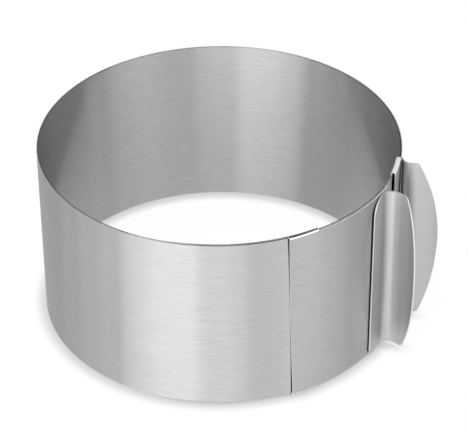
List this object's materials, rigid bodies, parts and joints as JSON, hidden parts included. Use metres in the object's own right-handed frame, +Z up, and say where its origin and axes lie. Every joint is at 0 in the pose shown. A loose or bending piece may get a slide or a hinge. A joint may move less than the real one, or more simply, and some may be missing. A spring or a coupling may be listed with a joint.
{
  "type": "adjustable cake ring",
  "caption": "Round brushed-steel cake ring made of a wound strip whose lap slides, so that side grips set its width by hand, with folded hems that keep the layers in line.",
  "frame": {"origin": "middle of the outline's box, on the surface that the ring stands on; the ring's axis is 8.4 mm towards -X", "axes": "+Z up along the ring's axis, +X towards the side with the grips, -Y the front, where the keeper plate's free end shows"},
  "size_m": [0.1794, 0.1624, 0.0856],
  "materials": {
    "band": "fine brushed grain along the strip",
    "keeper": "fine brushed grain along the plate",
    "grips": "satin, bright cut edges"
  },
  "bodies": {
    "keeper_body": {"band_inner_turn": "band", "keeper_plate": "keeper", "front_grip": "grips"},
    "sliding_body": {"band_outer_turn": "band", "rear_grip": "grips"}
  },
  "joints": [
    {"name": "lap_slide", "type": "hinge", "parent": "keeper_body", "child": "sliding_body", "pos_m": [-0.00843, 0, 0.0428], "axis": [0, 0, 1], "range_deg": [-6, 268]}
  ]
}
